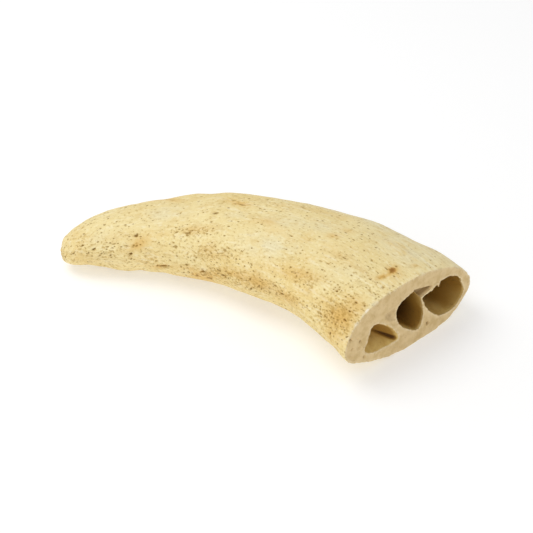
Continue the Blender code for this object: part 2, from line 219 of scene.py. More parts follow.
# Gouges and pits seen in the photograph: x, y, length and breadth in pixels, depth in millimetres, and
# the turn of those that lie askew (degrees, anticlockwise)
PHOTO_PITS = [
    (135.9, 235.6, 6, 3.6, 0.9, 5), (130.7, 254.1, 4.4, 3.4, 1.3), (127.4, 255.7, 2, 2, 0.6),
    (110.3, 255.4, 2.4, 2.2, 1), (107.3, 216.7, 4.6, 1.8, 0.7), (93.1, 249.3, 5, 2.2, 0.9, 35),
    (88.6, 253, 2.6, 2.4, 0.9, 60), (81.9, 245.9, 5, 1.5, 0.7, 30), (73.2, 253.5, 2, 4, 0.7, -28),
    (77.2, 246, 2, 3, 0.5, -20), (79.7, 249.6, 2, 1.6, 0.5), (101.7, 253.5, 2.4, 2.2, 0.7),
    (105, 253.5, 2, 1.6, 0.5), (102.4, 256.6, 2.2, 1.6, 0.5, 40), (119.4, 220.9, 2.6, 1.4, 0.4, 10),
    (117.4, 226.2, 6, 1.8, 0.5, 12), (113.6, 244.1, 7, 1.8, 0.6, 8), (107.3, 246.8, 3, 1.8, 0.6),
    (126.5, 246.1, 9, 1.8, 0.6, -6), (95.3, 235.2, 2.4, 1.8, 0.4), (89, 236.2, 2, 1.6, 0.4),
    (144.4, 220.2, 2.8, 1.8, 0.6), (146.9, 225.5, 2, 1.4, 0.4), (146, 248.6, 2.6, 1.8, 0.6, 40),
    (140.8, 252.1, 4.6, 1.8, 0.5, 10), (131.4, 258.4, 2, 2.4, 0.5), (128.5, 262.4, 2, 2, 0.5),
    (163, 266.4, 11, 3, 1.2), (157.4, 266, 3, 2.2, 1.2), (168.4, 266.3, 2.6, 2.4, 1.2),
    (144, 268.7, 5, 1.4, 0.6), (150.6, 266.9, 4, 1.6, 0.5, 25), (99.3, 263.8, 3, 1.4, 0.5),
    (77.4, 261.5, 5, 1.4, 0.4), (180.5, 213.1, 2.8, 1.8, 0.6), (173, 199.6, 7, 1.8, 0.6, -5),
    (174.3, 203, 3, 1.6, 0.4, 20), (188, 233, 9, 1.9, 0.7, 5), (191.4, 230.6, 8, 1.6, 0.6, 12),
    (196, 227, 2.2, 1.8, 0.5), (206.8, 231.1, 3.2, 1.8, 0.6, 15), (215.7, 212.8, 9, 2.6, 0.8, 10),
    (226.4, 214.1, 4.4, 1.6, 0.5, -25), (234.5, 200, 6, 1.8, 0.8), (241.6, 203.9, 15, 1.7, 0.6, -12),
    (235.4, 203.4, 2.4, 1.8, 0.9), (241.8, 204.3, 2.4, 1.8, 0.9), (241.6, 211.3, 3, 1.6, 0.5, -20),
    (260, 215.5, 2, 2, 0.4), (270.2, 201.4, 3, 1.6, 0.5), (280.9, 210.7, 5, 1.8, 0.7, 8),
    (288.5, 218.8, 5, 1.4, 0.3), (307.7, 221.7, 6, 1.4, 0.3, -15), (291.6, 235.7, 4.6, 1.9, 0.9, -35),
    (297.4, 247.6, 3.2, 2, 0.6, 20), (308.6, 240.4, 5, 1.8, 0.4, 5), (274.6, 240.9, 2.6, 2, 0.4),
    (250.5, 264.1, 2.2, 2, 0.9), (299.2, 260.4, 2.2, 1.8, 0.7), (196.1, 257.7, 2.6, 2.2, 0.7, 30),
    (185.4, 264.6, 4.4, 1.6, 0.6, -25), (226.4, 264.1, 3, 1.8, 0.6), (218.8, 258.6, 4, 1.4, 0.5, 45),
    (222, 253.4, 5, 1.3, 0.5, -50), (224.4, 254.7, 5, 1.3, 0.5, -50), (228.2, 253.4, 5, 1.3, 0.5, -50),
    (231.3, 255.2, 5, 1.4, 0.6, -50), (233.6, 246.3, 2.6, 1.6, 0.5, 20),
    (247.9, 250.7, 4, 1.5, 0.5, -30), (241.6, 242.7, 2.4, 1.6, 0.5), (202.8, 272.1, 6, 2.8, 1.2, -12),
    (197, 276.2, 3.6, 3, 1.1), (188, 272.6, 4, 2, 0.8), (183.6, 273.2, 3, 2, 0.8),
    (192.6, 274.6, 2.6, 2, 0.8), (209.5, 278.3, 9, 2, 0.9, -8), (222.9, 275.7, 8, 2, 0.9, -8),
    (250.1, 279.1, 3, 2.4, 0.6), (258.6, 286, 2, 3, 0.8), (260.8, 289.1, 2.4, 4, 0.9),
    (251, 288.7, 2.6, 2.4, 0.8), (245.2, 288.2, 2.6, 2, 0.7), (269.3, 292.7, 3.4, 2, 0.8, -20),
    (276, 293.8, 2.4, 2, 0.7), (281.8, 294.2, 5, 2, 0.8, -20), (280.9, 279.3, 3, 2, 0.6),
    (272.4, 283.8, 2.4, 2, 0.6), (308.6, 281.1, 4.4, 2, 0.6, 25), (332.4, 236.3, 2.8, 1.8, 0.7),
    (336, 239.7, 2.6, 1.6, 0.4), (347, 230.6, 7, 1.5, 0.3, -12), (363.7, 232.3, 3, 1.7, 0.6, -15),
    (398.5, 236.4, 3.6, 1.6, 0.5, -20), (388, 254.1, 2.6, 2, 0.8, -20),
    (404.3, 254.7, 2.4, 1.8, 0.6, -20), (372.4, 260.5, 2.2, 2, 0.8), (361, 261.4, 2, 1.8, 0.6),
    (371.3, 269.2, 2, 2.4, 0.6), (368.1, 275.6, 2.6, 2, 0.7, 20), (340, 268.6, 2.2, 1.8, 0.5),
    (351.2, 267.4, 2, 2.2, 0.4), (415.4, 265.6, 4, 1.8, 0.5), (426.2, 260.7, 2.6, 1.6, 0.5, -20),
    (321.5, 260.6, 7, 1.3, 0.6, -20), (327.6, 263.2, 7, 1.2, 0.6, -22), (392.4, 270, 4, 3, 0.5),
    (390.6, 272.6, 3, 2, 0.6, 30), (386, 275.8, 3, 1.6, 0.6, 15), (379.6, 277.6, 3.4, 1.8, 0.6, -30),
    (352.9, 286.2, 2.8, 2.4, 0.9), (356, 288.4, 2, 2, 0.7), (348, 283, 2, 2, 0.7),
    (336.9, 290.6, 3.4, 2.8, 0.9, 30), (339.6, 289.2, 1.8, 2, 0.7), (327.5, 293.3, 2.2, 2, 0.7),
    (383.8, 286.6, 2.8, 2.6, 0.8), (388.7, 284.4, 4, 1.4, 0.5, -35), (361.9, 284.8, 2, 1.8, 0.5),
    (366.3, 284.8, 2, 1.8, 0.5), (353, 298.1, 3, 2.2, 0.8, -20), (356, 302.2, 3, 2.6, 0.9),
    (345.8, 304.8, 2.4, 2.2, 0.7), (364.6, 305.1, 3, 2.6, 0.9), (330.2, 301.8, 2, 2, 0.5),
    (370.8, 291.5, 4, 1.8, 0.5, -30), (395.4, 288.8, 2.4, 2, 0.6), (349.6, 311.2, 2.8, 2.6, 0.8),
    (344.6, 320.2, 7, 2.2, 1, -60), (335.3, 331.1, 2.2, 2, 0.7), (329.4, 333.7, 2.6, 4, 0.9),
    (336.8, 344.4, 2.2, 3.4, 0.7, 20), (342, 334.7, 2, 2.6, 0.7), (347.6, 336.7, 3, 2, 0.7, 40),
    (324.6, 324, 2.2, 2, 0.6), (343.5, 328, 2.2, 2.4, 0.7), (331, 312.5, 2.4, 3, 0.7),
    (337.6, 306, 2, 2.2, 0.6), (318, 312, 2.2, 2.4, 0.6), (312, 304, 2.2, 2, 0.6),
    (303, 301.4, 2.6, 1.8, 0.6, -20), (326, 317.5, 2, 2.4, 0.6),
]

# Stains of the photograph: x, y, half length and half breadth in pixels, turn (degrees), strength
PHOTO_STAINS = [
    (137, 245, 14, 7, 30, 1), (124, 250, 15, 5, 8, 0.5), (196, 230, 17, 4.5, 3, 0.75),
    (165, 234, 14, 3, 8, 0.35), (232, 274.5, 27, 6.5, -5, 0.95), (258, 282, 22, 7, -28, 0.85),
    (284, 296, 20, 6, -32, 0.7), (206, 275, 24, 6, -8, 1.1), (300, 275, 26, 7, -8, 0.7),
    (341, 316, 18, 17, 0, 1), (354, 304, 18, 9, -35, 0.6), (333, 331, 9, 15, 30, 0.7),
    (392.8, 270, 5.6, 4.8, 0, 1.6), (390, 273.4, 4, 2.4, 30, 1.1), (382.5, 276.6, 7, 2.6, 18, 1.15),
    (396, 274, 7, 5, 0, 0.5),
    (240, 203.4, 14, 2.5, -10, 0.7), (269, 222, 10, 3.5, -5, 0.55), (347, 230.5, 9, 2.2, -12, 0.8),
    (332, 236, 7, 3, 0, 0.7), (340, 254, 18, 11, -15, 0.4), (215, 252, 26, 10, -8, 0.5),
    (196, 270, 30, 5, -7, 0.7), (162, 266.5, 9, 2.5, 0, 0.9), (95, 258, 26, 6, -5, 0.4),
    (415, 265.5, 4.5, 2, 0, 0.6), (308, 240, 7, 3, 0, 0.4), (385, 240, 16, 3, -25, 0.3),
    (173, 200, 8, 2.4, -6, 0.6), (330, 213, 26, 3, -14, 0.25), (320, 300, 20, 7, -38, 0.6),
    (250, 284, 60, 6, -22, 0.5), (118, 238, 20, 7, 12, 0.35),
]
# Where the photograph shows the most fine pores, and smooth whitish bone
PHOTO_POROUS = [
    (205, 253, 44, 13, -4, 0.75), (105, 250, 36, 13, -8, 0.75), (235, 278, 62, 9, -14, 1),
    (338, 315, 30, 26, 0, 1), (150, 260, 32, 9, 0, 0.75), (195, 231, 25, 7, 0, 0.85),
    (372, 288, 24, 14, -35, 0.6), (308, 281, 24, 10, -18, 0.85), (285, 295, 26, 6, -28, 0.95),
    (260, 203, 60, 7, -8, 0.4), (120, 214, 30, 7, 20, 0.35), (340, 254, 20, 12, -15, 0.35),
]
PHOTO_PALE = [
    (165, 214, 26, 8, 8, 0.9), (290, 222, 26, 6, -8, 0.7), (270, 246, 28, 13, -4, 1),
    (322, 226, 20, 6, -12, 0.7), (405, 250, 34, 14, -30, 1), (348, 272, 20, 8, -10, 0.4),
    (236, 215, 16, 3.5, -3, 0.6), (212, 206, 18, 4, 0, 0.4), (96, 238, 18, 6, 20, 0.4),
    (250, 290, 16, 2.5, -22, 0.4), (380, 225, 40, 6, -24, 0.8), (110, 262, 16, 3, -6, 0.4),
]
# Pale flakes on the rim of the saw cut, as the stains are given
PHOTO_FLAKES = [
    (367.3, 311, 4.2, 2.4, 50, 1.9), (363.2, 316.2, 3, 1.8, 55, 1.5), (356.6, 326.2, 3.4, 2.4, 55, 1.9),
    (352.4, 331, 2.6, 1.6, 50, 1.5), (372.6, 304.8, 3, 1.6, 45, 1.3), (347.6, 337.4, 2.4, 1.6, 60, 1.3),
]
# Scattered pits: half length, half breadth and depth in millimetres, spread of their turn in radians,
# and how many rings and columns away one reaches
SCATTERED_PITS = 520
PIT_LENGTH = (0.4, 0.8)
PIT_BREADTH = (0.38, 0.55)
PIT_DEPTH = (0.15, 0.5)
PIT_TURN = 0.35
PIT_WINDOW = (4, 6)
# Depth at which a dug hollow is darkest: its own colour and painted shade
DARKEST_PIT = 0.9 * MM

# Fine relief: size across the grain, how far it is drawn out along it, and height
FINE_RELIEF = [(7.0 * MM, 1.8, 0.28 * MM), (3.2 * MM, 1.8, 0.16 * MM), (1.5 * MM, 2.2, 0.10 * MM)]

# Colours of the bone: red, green and blue from 0 to 255
COLOURS = {
    "cream": (242, 223, 164), "buff": (238, 214, 147), "yellow": (236, 206, 138),
    "dull": (218, 190, 130), "whitish": (234, 224, 186), "far side": (226, 218, 192),
    "fibres": (250, 240, 204), "glints": (253, 241, 198), "ochre": (222, 178, 94),
    "brown": (166, 116, 48), "streaks": (190, 158, 96), "grit": (184, 144, 66),
    "pores": (156, 116, 32), "pits": (140, 99, 14), "cut": (227, 200, 149),
    "cut grain": (210, 181, 126), "freckles": (170, 136, 82), "painted hollow shade": (120, 88, 42),
    "chamber": (222, 190, 114), "chamber grain": (202, 164, 86), "gloom": (158, 117, 44),
    "dark": (98, 64, 20), "wear_and_highlight": (250, 234, 198), "flakes": (253, 244, 226),
}
# Noise textures of the bone: scale for a metre, detail and roughness
TEXTURES = {
    "clouds": (38.0, 5.0, 0.55), "patches": (95.0, 5.0, 0.62), "mottle": (260.0, 5.0, 0.6),
    "fibres": (620.0, 4.0, 0.6), "grit": (1150.0, 3.0, 0.6), "cut": (240.0, 5.0, 0.6),
}

# Floor, sky and lights: name, metres to the camera's right, away from it and up, aim, size and power
FLOOR_REACH, FLOOR_GREY, FLOOR_GLOW, SKY_GLOW = 3.0, 0.72, 0.36, 0.60
LIGHTS = [
    ("key", (-0.35, 0.05, 0.75), (0, 0, 0), 0.6, 2.6),
    ("front", (-0.20, -0.80, 0.35), (0, 0, 0.02), 0.6, 0.9),
]


def linear(colour):
    """A colour as the linear values that a shader takes."""
    shares = [value / 255 for value in colour]
    return [s / 12.92 if s <= 0.04045 else ((s + 0.055) / 1.055) ** 2.4 for s in shares] + [1.0]


def smooth_step(value, low, high):
    share = np.clip((value - low) / (high - low), 0, 1)
    return share**2 * (3 - 2 * share)


def between(value, start, end):
    """From 0 to 1 over the first pair of values, and back over the second."""
    return smooth_step(value, *start) * (1 - smooth_step(value, *end))


def noise_at(points, size, seed):
    offset = Vector((seed * 7.3, seed * 3.1, seed * 5.7))
    return np.array([noise.noise(Vector(point) / size + offset) for point in points])


def heading(t):
    """How far the middle line has turned at a share of its length."""
    return np.radians(BEND[0] * t + BEND[1] * t**2 + BEND[2] * t**3)


def width(t):
    return CUT_WIDTH * (1 + TAPER[0] * t + TAPER[1] * t**2 + TAPER[2] * t**3)


def height(t):
    return width(t) * (CUT_HEIGHT / CUT_WIDTH + ROUNDING * t)


def closing(t):
    """What the rounding of the tip leaves of the section."""
    past = np.clip((t - TIP_START) / (1 - TIP_START), 0, 1)
    return np.sqrt(np.clip(1 - past**TIP_BLUNTNESS, 0, 1))


def spine(t):
    """The middle line in plan, seen from above."""
    fine = np.linspace(0, 1, SPINE_POINTS)
    turn = heading(fine)
    step = LENGTH / (len(fine) - 1)
    middle = (turn[1:] + turn[:-1]) / 2
    x = np.concatenate([[0], np.cumsum(-np.cos(middle) * step)])
    y = np.concatenate([[0], np.cumsum(-np.sin(middle) * step)])
    return np.interp(t, fine, x), np.interp(t, fine, y)


def smooth_loop(points, count=None):
    """A closed Catmull-Rom curve through the points, as count points at even distances."""
    points = np.array(points, float)
    parts = np.linspace(0, 1, CURVE_PARTS, endpoint=False)[:, None]
    before, after, beyond = (np.roll(points, shift, axis=0) for shift in (1, -1, -2))
    curve = []
    for p0, p1, p2, p3 in zip(before, points, after, beyond):
        bend = 2 * p0 - 5 * p1 + 4 * p2 - p3
        twist = 3 * p1 - p0 - 3 * p2 + p3
        curve.append(0.5 * (2 * p1 + (p2 - p0) * parts + bend * parts**2 + twist * parts**3))
    curve = np.concatenate(curve)
    closed = np.vstack([curve, curve[:1]])
    reach = np.concatenate([[0], np.cumsum(np.linalg.norm(np.diff(closed, axis=0), axis=1))])
    count = count or int(reach[-1] * MM / MOUTH_STEP)
    wanted = np.linspace(0, reach[-1], count, endpoint=False)
    return np.stack([np.interp(wanted, reach, closed[:, axis]) for axis in (0, 1)], axis=-1)


def unit_cut(count):
    """The outline of the cut, anticlockwise from the convex edge, with its edges at 1 and -1."""
    half = np.array([CUT_WIDTH / 2, CUT_HEIGHT / 2]) / MM
    loop = (smooth_loop(CUT_OUTLINE, count) - [0, half[1]]) / half
    if np.cross(loop[0], loop[1]) < 0:
        loop = loop[::-1]
    return np.roll(loop, -int(np.argmax(loop[:, 0])), axis=0)


def section(t, cut):
    """A section: the outline of the cut, turning into an oval towards the tip."""
    blend = smooth_step(t, 0, ROUND_SECTION_AT)
    oval = cut / np.linalg.norm(cut, axis=1, keepdims=True)
    unit = cut * (1 - blend) + oval * blend
    across = unit[:, 0] * width(t) * closing(t) / 2
    up = height(t) / 2 + unit[:, 1] * height(t) * closing(t) / 2
    return across, up - BELLY_SINK


def place(t, across, up):
    """Points of a section, where the bend of the bone takes them."""
    x, y = spine(t)
    turn = heading(t)
    return np.stack([x - np.sin(turn) * across, y + np.cos(turn) * across, up + 0 * across], axis=-1)


def swelling(along, around, t):
    """How far the listed swellings and hollows move the skin outwards."""
    total = np.zeros(len(along))
    girth = math.pi * (width(t) + height(t)) / 2 * closing(t)
    for s, angle, length, breadth, rise in SWELLINGS:
        turn = (around - angle + 180) % 360 - 180
        sideways = turn / 360 * girth
        reach = ((along - s * MM) / (length * MM)) ** 2 + (sideways / (breadth * MM)) ** 2
        total += rise * MM * np.exp(-2 * reach)
    return total


# What the material reads at each point. "deep" runs from 1 in a chamber's mouth to 2 where its painted
# shade is darkest, and the mask of pits also carries painted shade.
MASKS = ("pit", "stain", "porous", "pale", "sawn", "edge", "deep")


class Bone:
    """The mesh while it grows: points, faces, masks, and each point's place on a straight bone."""

    def __init__(self):
        self.points = []
        self.faces = []
        self.values = {name: [] for name in MASKS}
        self.unbent = []
        self.count = 0

    def add(self, points, unbent, **values):
        """Adds points with their masks, and gives their numbers."""
        first = self.count
        self.points.append(points)
        self.unbent.append(unbent)
        for name, rows in self.values.items():
            rows.append(np.broadcast_to(values.get(name, 0.0), len(points)).astype(float))
        self.count += len(points)
        return np.arange(first, self.count)

    def strip(self, rows):
        """Quads between successive closed rows of point numbers."""
        for near, far in zip(rows, rows[1:]):
            quads = np.stack([near, np.roll(near, -1), np.roll(far, -1), far], axis=-1)
            self.faces.extend(quads.tolist())

    def fan(self, row, point):
        """Triangles between a closed row and one point."""
        self.faces.extend(np.stack([row, np.roll(row, -1), np.full(len(row), point)], axis=-1).tolist())


class Surface:
    """The outer skin of the bone as a grid of rings, and where the photograph sees it."""

    def __init__(self):
        body = np.arange(0, TIP_START, BODY_STEP / LENGTH)
        bow = np.sin(np.linspace(0, math.pi / 2, TIP_RINGS + 1))
        shares = np.concatenate([body, TIP_START + (1 - TIP_START) * bow])
        cut = unit_cut(AROUND)
        self.angles = np.degrees(np.arctan2(cut[:, 1], cut[:, 0]))
        sections = [section(t, cut) for t in shares]
        grid = np.array([place(t, *pair) for t, pair in zip(shares, sections)])
        straight = [[np.full(AROUND, t * LENGTH), *pair] for t, pair in zip(shares, sections)]
        self.unbent = np.stack(straight[:-1]).transpose(0, 2, 1)
        self.tip_unbent = self.unbent[-1].mean(axis=0)
        self.outward = self.normals(grid)
        last = grid[-2].mean(axis=0)
        for i, t in enumerate(shares[:-1]):
            along = np.full(AROUND, t * LENGTH)
            ridge_points = np.stack(
                [along / RIDGE_LENGTH, grid[i, :, 2] / RIDGE_BREADTH, np.radians(self.angles) * 2],
                axis=-1,
            )
            rise = swelling(along, self.angles, t)
            rise += LUMP_HEIGHT * noise_at(grid[i], LUMP_SIZE, LUMP_SEED)
            rise += RIDGE_HEIGHT * noise_at(ridge_points, 1, RIDGE_SEED)
            grid[i] += self.outward[i] * rise[:, None]
        grid[-1] += grid[-2].mean(axis=0) - last
        grid[:, :, 2] = np.maximum(grid[:, :, 2], 0)
        low = grid[:-1].reshape(-1, 3).min(axis=0)
        high = grid[:-1].reshape(-1, 3).max(axis=0)
        self.cut_centre = -np.array([(low[0] + high[0]) / 2, (low[1] + high[1]) / 2, 0])
        grid += self.cut_centre
        self.tip = grid[-1].mean(axis=0)
        self.grid = grid[:-1]
        self.depth = np.zeros(self.grid.shape[:2])
        self.masks = {name: self.depth.copy() for name in ("pit", "stain", "porous", "pale", "edge")}

    def normals(self, grid):
        forward = np.gradient(grid[:-1], axis=0)
        sideways = np.roll(grid[:-1], -1, axis=1) - np.roll(grid[:-1], 1, axis=1)
        outward = np.cross(forward, sideways)
        outward[0, :, 0] = 0
        return outward / np.maximum(np.linalg.norm(outward, axis=2, keepdims=True), 1e-12)

    def look(self, camera):
        """Finds each point's pixel in the photograph, and whether it faces the camera."""
        from_camera = self.grid - camera["place"]
        deep = from_camera @ camera["forward"]
        scale = LENS / SENSOR * PICTURE / deep
        self.seen_x = PICTURE / 2 + scale * (from_camera @ camera["right"])
        self.seen_y = PICTURE / 2 - scale * (from_camera @ camera["up"])
        self.facing = np.einsum("ijk,ijk->ij", self.outward, -from_camera) > 0

    def photo_reach(self, x, y, half_length, half_breadth, turn=0):
        """How far each point seen by the photograph is from a spot in it, 1 on the spot's edge."""
        right = self.seen_x - x
        up = y - self.seen_y
        c, s = math.cos(math.radians(turn)), math.sin(math.radians(turn))
        along = (right * c + up * s) / half_length
        across = (up * c - right * s) / half_breadth
        return np.where(self.facing, np.hypot(along, across), 99.0)

    def dig(self, window, depth, share):
        """Sinks a part of the skin to a share of the depth, and marks it as a hollow, darker the deeper it
        is: its own colour and painted shade.
        """
        self.depth[window] = np.maximum(self.depth[window], depth * share)
        pit = self.masks["pit"]
        pit[window] = np.maximum(pit[window], share * min(1, depth / DARKEST_PIT))

    def paint(self, name, spots):
        """Raises a mask around spots of the photograph."""
        mask = self.masks[name]
        for x, y, length, breadth, turn, strength in spots:
            reach = self.photo_reach(x, y, length, breadth, turn)
            np.maximum(mask, strength * np.exp(-(reach**2)), out=mask)

    def mark(self):
        """What the plain solid lacks: masks, pits, fine relief and the worn rim with its paler edge, which
        is wear and painted highlight.
        """
        rows, columns = self.depth.shape
        along = self.unbent[:, :, 0] / LENGTH
        concave = np.exp(-(((self.angles % 360 - 195) / 50) ** 2))[None, :]
        hidden = ~self.facing
        flat = self.unbent.reshape(-1, 3)
        blotches = noise_at(flat * [0.3, 1, 1], 10 * MM, BLOTCH_SEED).reshape(rows, columns)
        stain, porous, pale = (self.masks[name] for name in ("stain", "porous", "pale"))
        porous += 0.14 + 0.22 * concave + 0.16 * smooth_step(along, 0.6, 0.95)
        porous += hidden * 0.5 * smooth_step(blotches, -0.1, 0.5)
        stain += hidden * 0.6 * smooth_step(blotches, -0.05, 0.6)
        pale += hidden * 0.8 * smooth_step(-blotches, 0.0, 0.5)
        self.paint("stain", PHOTO_STAINS)
        self.paint("porous", PHOTO_POROUS)
        self.paint("pale", PHOTO_PALE)
        self.paint("pale", PHOTO_FLAKES)
        for x, y, length, breadth, depth, *turn in PHOTO_PITS:
            reach = self.photo_reach(x, y, max(length / 2, 1.0), max(breadth / 2, 0.9), *turn)
            self.dig(np.s_[:, :], depth * MM, 1 - smooth_step(reach, 0.25, 1.15))
        self.scatter()
        rise = -self.depth
        for seed, (size, drawn, tall) in enumerate(FINE_RELIEF, start=RELIEF_SEED):
            rough = noise_at(flat / [drawn, 1, 1], size, seed).reshape(rows, columns)
            tall = tall * (1 + 0.8 * smooth_step(along, 0.7, 0.95))
            rise += rough * tall * (0.55 + 0.6 * np.minimum(porous, 1))
        self.grid += self.outward * rise[:, :, None]
        self.wear_rim()
        self.grid[:, :, 2] = np.maximum(self.grid[:, :, 2], 0)

    def wear_rim(self):
        """Chips out of the rim of the saw cut, and its paler edge: wear and painted highlight."""
        chip = smooth_step(noise_at(self.grid[0], CHIP_SIZE, CHIP_SEED), 0.05, 0.5)
        chip += 0.35 * smooth_step(noise_at(self.grid[0], 0.4 * CHIP_SIZE, CHIP_SEED + 1), -0.1, 0.5)
        middle, breadth, less = SOUND_RIM
        sound = np.exp(-((((self.angles - middle + 180) % 360 - 180) / breadth) ** 2))
        chip *= CHIP * (1 - less * sound)
        wear_and_highlight = np.array(RIM_WEAR_AND_HIGHLIGHT)[:, None] * (0.3 + 0.7 * chip / CHIP)
        edge = self.masks["edge"]
        edge[: len(RIM_WEAR_AND_HIGHLIGHT)] = np.maximum(edge[: len(RIM_WEAR_AND_HIGHLIGHT)], wear_and_highlight)
        self.grid[0] -= self.outward[0] * chip[:, None]
        self.grid[0, :, 0] -= 0.8 * chip
        self.grid[1] -= self.outward[1] * 0.35 * chip[:, None]
        self.grid[1, :, 0] -= 0.4 * chip

    def scatter(self):
        """Small pits all over, thickest along the concave side and towards the tip."""
        rng = np.random.default_rng(PIT_SEED)
        rows, columns = self.depth.shape
        along = self.unbent[:, :, 0] / LENGTH
        weight = self.masks["porous"] ** 2 * (width(along) / CUT_WIDTH) * closing(along)
        weight *= 1 - 0.8 * np.minimum(self.masks["pale"], 1)
        weight[:2] = 0
        chosen = rng.choice(rows * columns, SCATTERED_PITS, p=(weight / weight.sum()).ravel())
        for spot in chosen:
            i, j = divmod(int(spot), columns)
            half_length = rng.uniform(*PIT_LENGTH) * MM
            half_breadth = rng.uniform(*PIT_BREADTH) * MM
            depth = rng.uniform(*PIT_DEPTH) * MM
            turn = rng.normal(0, PIT_TURN)
            near = np.arange(max(i - PIT_WINDOW[0], 1), min(i + PIT_WINDOW[0] + 1, rows))
            beside = np.arange(j - PIT_WINDOW[1], j + PIT_WINDOW[1] + 1) % columns
            window = np.ix_(near, beside)
            offset = self.grid[window] - self.grid[i, j]
            grain = self.grid[min(i + 1, rows - 1), j] - self.grid[i - 1, j]
            grain = grain / np.linalg.norm(grain)
            lengthwise = offset @ grain
            sideways = offset @ np.cross(self.outward[i, j], grain)
            c, s = math.cos(turn), math.sin(turn)
            reach = np.hypot(
                (lengthwise * c + sideways * s) / half_length, (sideways * c - lengthwise * s) / half_breadth
            )
            self.dig(window, depth, 1 - smooth_step(reach, 0.2, 1.3))


def chamber_loops(chamber, mouth, seed):
    """A blind chamber's walls as loops, closest together near its mouth."""
    centre = np.array(chamber["centre"]) * MM
    depth = chamber["depth"]
    darker, lighter = chamber["painted_light_and_shade"]
    loops = []
    parts = np.sin(np.linspace(0, math.pi / 2, CHAMBER_RINGS)) ** 1.5
    for part in [0.0, LIP / depth, *parts[1:]]:
        t = part * depth / LENGTH
        shrink = width(t) / CUT_WIDTH
        left = math.sqrt(max(1 - part ** chamber["bluntness"], 0)) * shrink
        if "throat" in chamber:
            narrow, at = chamber["throat"]
            left *= 1 - (1 - narrow) * min(part * depth / at, 1)
        middle = centre * [shrink, height(t) / CUT_HEIGHT]
        points = middle + (mouth - centre) * left
        loop = place(t, points[:, 0], points[:, 1] - BELLY_SINK)
        bulge = CHAMBER_LUMP_HEIGHT * noise_at(loop, CHAMBER_LUMP_SIZE, seed) * min(1, 3 * part)
        bumps = noise_at(loop * [0.5, 1, 1], CHAMBER_BUMP_SIZE, seed + BUMP_SEED)
        bulge += CHAMBER_BUMP_HEIGHT * bumps * min(1, 20 * part)
        inward = (loop.mean(axis=0) - loop) / (np.linalg.norm(mouth - centre, axis=1)[:, None])
        loop = loop + inward * bulge[:, None]
        # Painted shade: darker with depth until "gloom" and on the wall towards the convex edge; painted
        # light makes the floor lighter
        shade = np.full(len(mouth), min(1.0, float(part * depth / chamber["gloom"])))
        entered = float(smooth_step(part * depth, 0, 1.5 * MM))
        shade += darker * entered * smooth_step(mouth[:, 0] - centre[0], 0, 8 * MM)
        shade *= 1 - lighter * smooth_step(centre[1] - mouth[:, 1], 0, 7 * MM)
        # Painted shade along the crease's groove and on the wall above it
        if "crease" in chamber:
            loop, crease_painted_shade = fold_in(loop, chamber, mouth, centre, part * depth)
            shade += crease_painted_shade
        loops.append((loop, part * depth, points, shade))
    return loops


def fold_in(loop, chamber, mouth, centre, deep):
    """Draws a groove in from the chamber's corner, and gives the painted shade of the groove and of the wall
    above it.
    """
    corner = np.array(chamber["crease"]) * MM
    near = np.exp(-((np.linalg.norm(mouth - corner, axis=1) / CREASE_BREADTH) ** 2))
    away = (corner - centre) / np.linalg.norm(corner - centre)
    sunk = CREASE_DEPTH * between(deep, *CREASE_REACH) * near
    loop = loop + np.array([-0.6, away[0], away[1]]) * sunk[:, None]
    floor = corner[1] + CREASE_FLOOR_SLOPE * (corner[0] - mouth[:, 0])
    wall = smooth_step(mouth[:, 1] - floor, 0, 3 * MM) * smooth_step(deep, 0, 1.5 * MM)
    return loop, 0.9 * near * between(deep, *CREASE_SHADE) + 0.15 * wall


def ragged(loop, seed):
    """A mouth's outline with the small breaks that the saw left in its edge."""
    along = np.roll(loop, -1, axis=0) - np.roll(loop, 1, axis=0)
    outward = np.stack([along[:, 1], -along[:, 0]], axis=-1)
    outward /= np.linalg.norm(outward, axis=1, keepdims=True)
    spots = np.column_stack([loop, np.zeros(len(loop))])
    jag = JAG * noise_at(spots, JAG_SIZE, seed) + 0.5 * JAG * noise_at(spots, 0.45 * JAG_SIZE, seed + 1)
    return loop + outward * jag[:, None] * 2


def inside_outline(points, outline):
    """How deep each point lies inside a convex outline given in millimetres, negative outside."""
    outline = np.array(outline) * MM
    edges = np.roll(outline, -1, axis=0) - outline
    turned = np.stack([-edges[:, 1], edges[:, 0]], axis=-1)
    turned = turned / np.linalg.norm(turned, axis=1, keepdims=True)
    middle = outline.mean(axis=0)
    turned *= np.sign(((middle - outline) * turned).sum(axis=1))[:, None]
    reach = ((points[:, None, :] - outline[None]) * turned[None]).sum(axis=2)
    return reach.min(axis=1)


def within(points, loop):
    """Which points lie inside a closed loop, by how often a line from each crosses it."""
    inside = np.zeros(len(points), bool)
    for a, b in zip(loop, np.roll(loop, -1, axis=0)):
        spans = (a[1] > points[:, 1]) != (b[1] > points[:, 1])
        rise = b[1] - a[1] if b[1] != a[1] else 1.0
        crossing = a[0] + (points[:, 1] - a[1]) * (b[0] - a[0]) / rise
        inside ^= spans & (points[:, 0] < crossing)
    return inside


def cut_sink(points):
    """How far the saw cut is sunk at each point, by its recess, facet, dents and saw marks."""
    slope = 1 - RECESS_SLOPE * np.clip(points[:, 0] / MM, 0, 12)
    recess = smooth_step(inside_outline(points, RECESS_OUTLINE), RECESS_EDGE, RECESS_WALL)
    facet = smooth_step(inside_outline(points, FACET_OUTLINE), 0, FACET_WALL)
    sink = np.maximum(RECESS_DEPTH * slope * recess, FACET_DEPTH * facet)
    for across, up, radius, depth in CUT_DENTS:
        reach = np.linalg.norm(points - np.array([across, up]) * MM, axis=1) / (radius * MM)
        sink = np.maximum(sink, depth * MM * (1 - smooth_step(reach, 0.3, 1.1)))
    spots = np.column_stack([points, np.zeros(len(points))])
    sweep = noise_at(spots * [0.35, 1, 1], 1.1 * MM, SAW_SEED) + noise_at(spots, 4 * MM, SAW_SEED + 1)
    return sink + SAW_MARK * (1 + sweep)


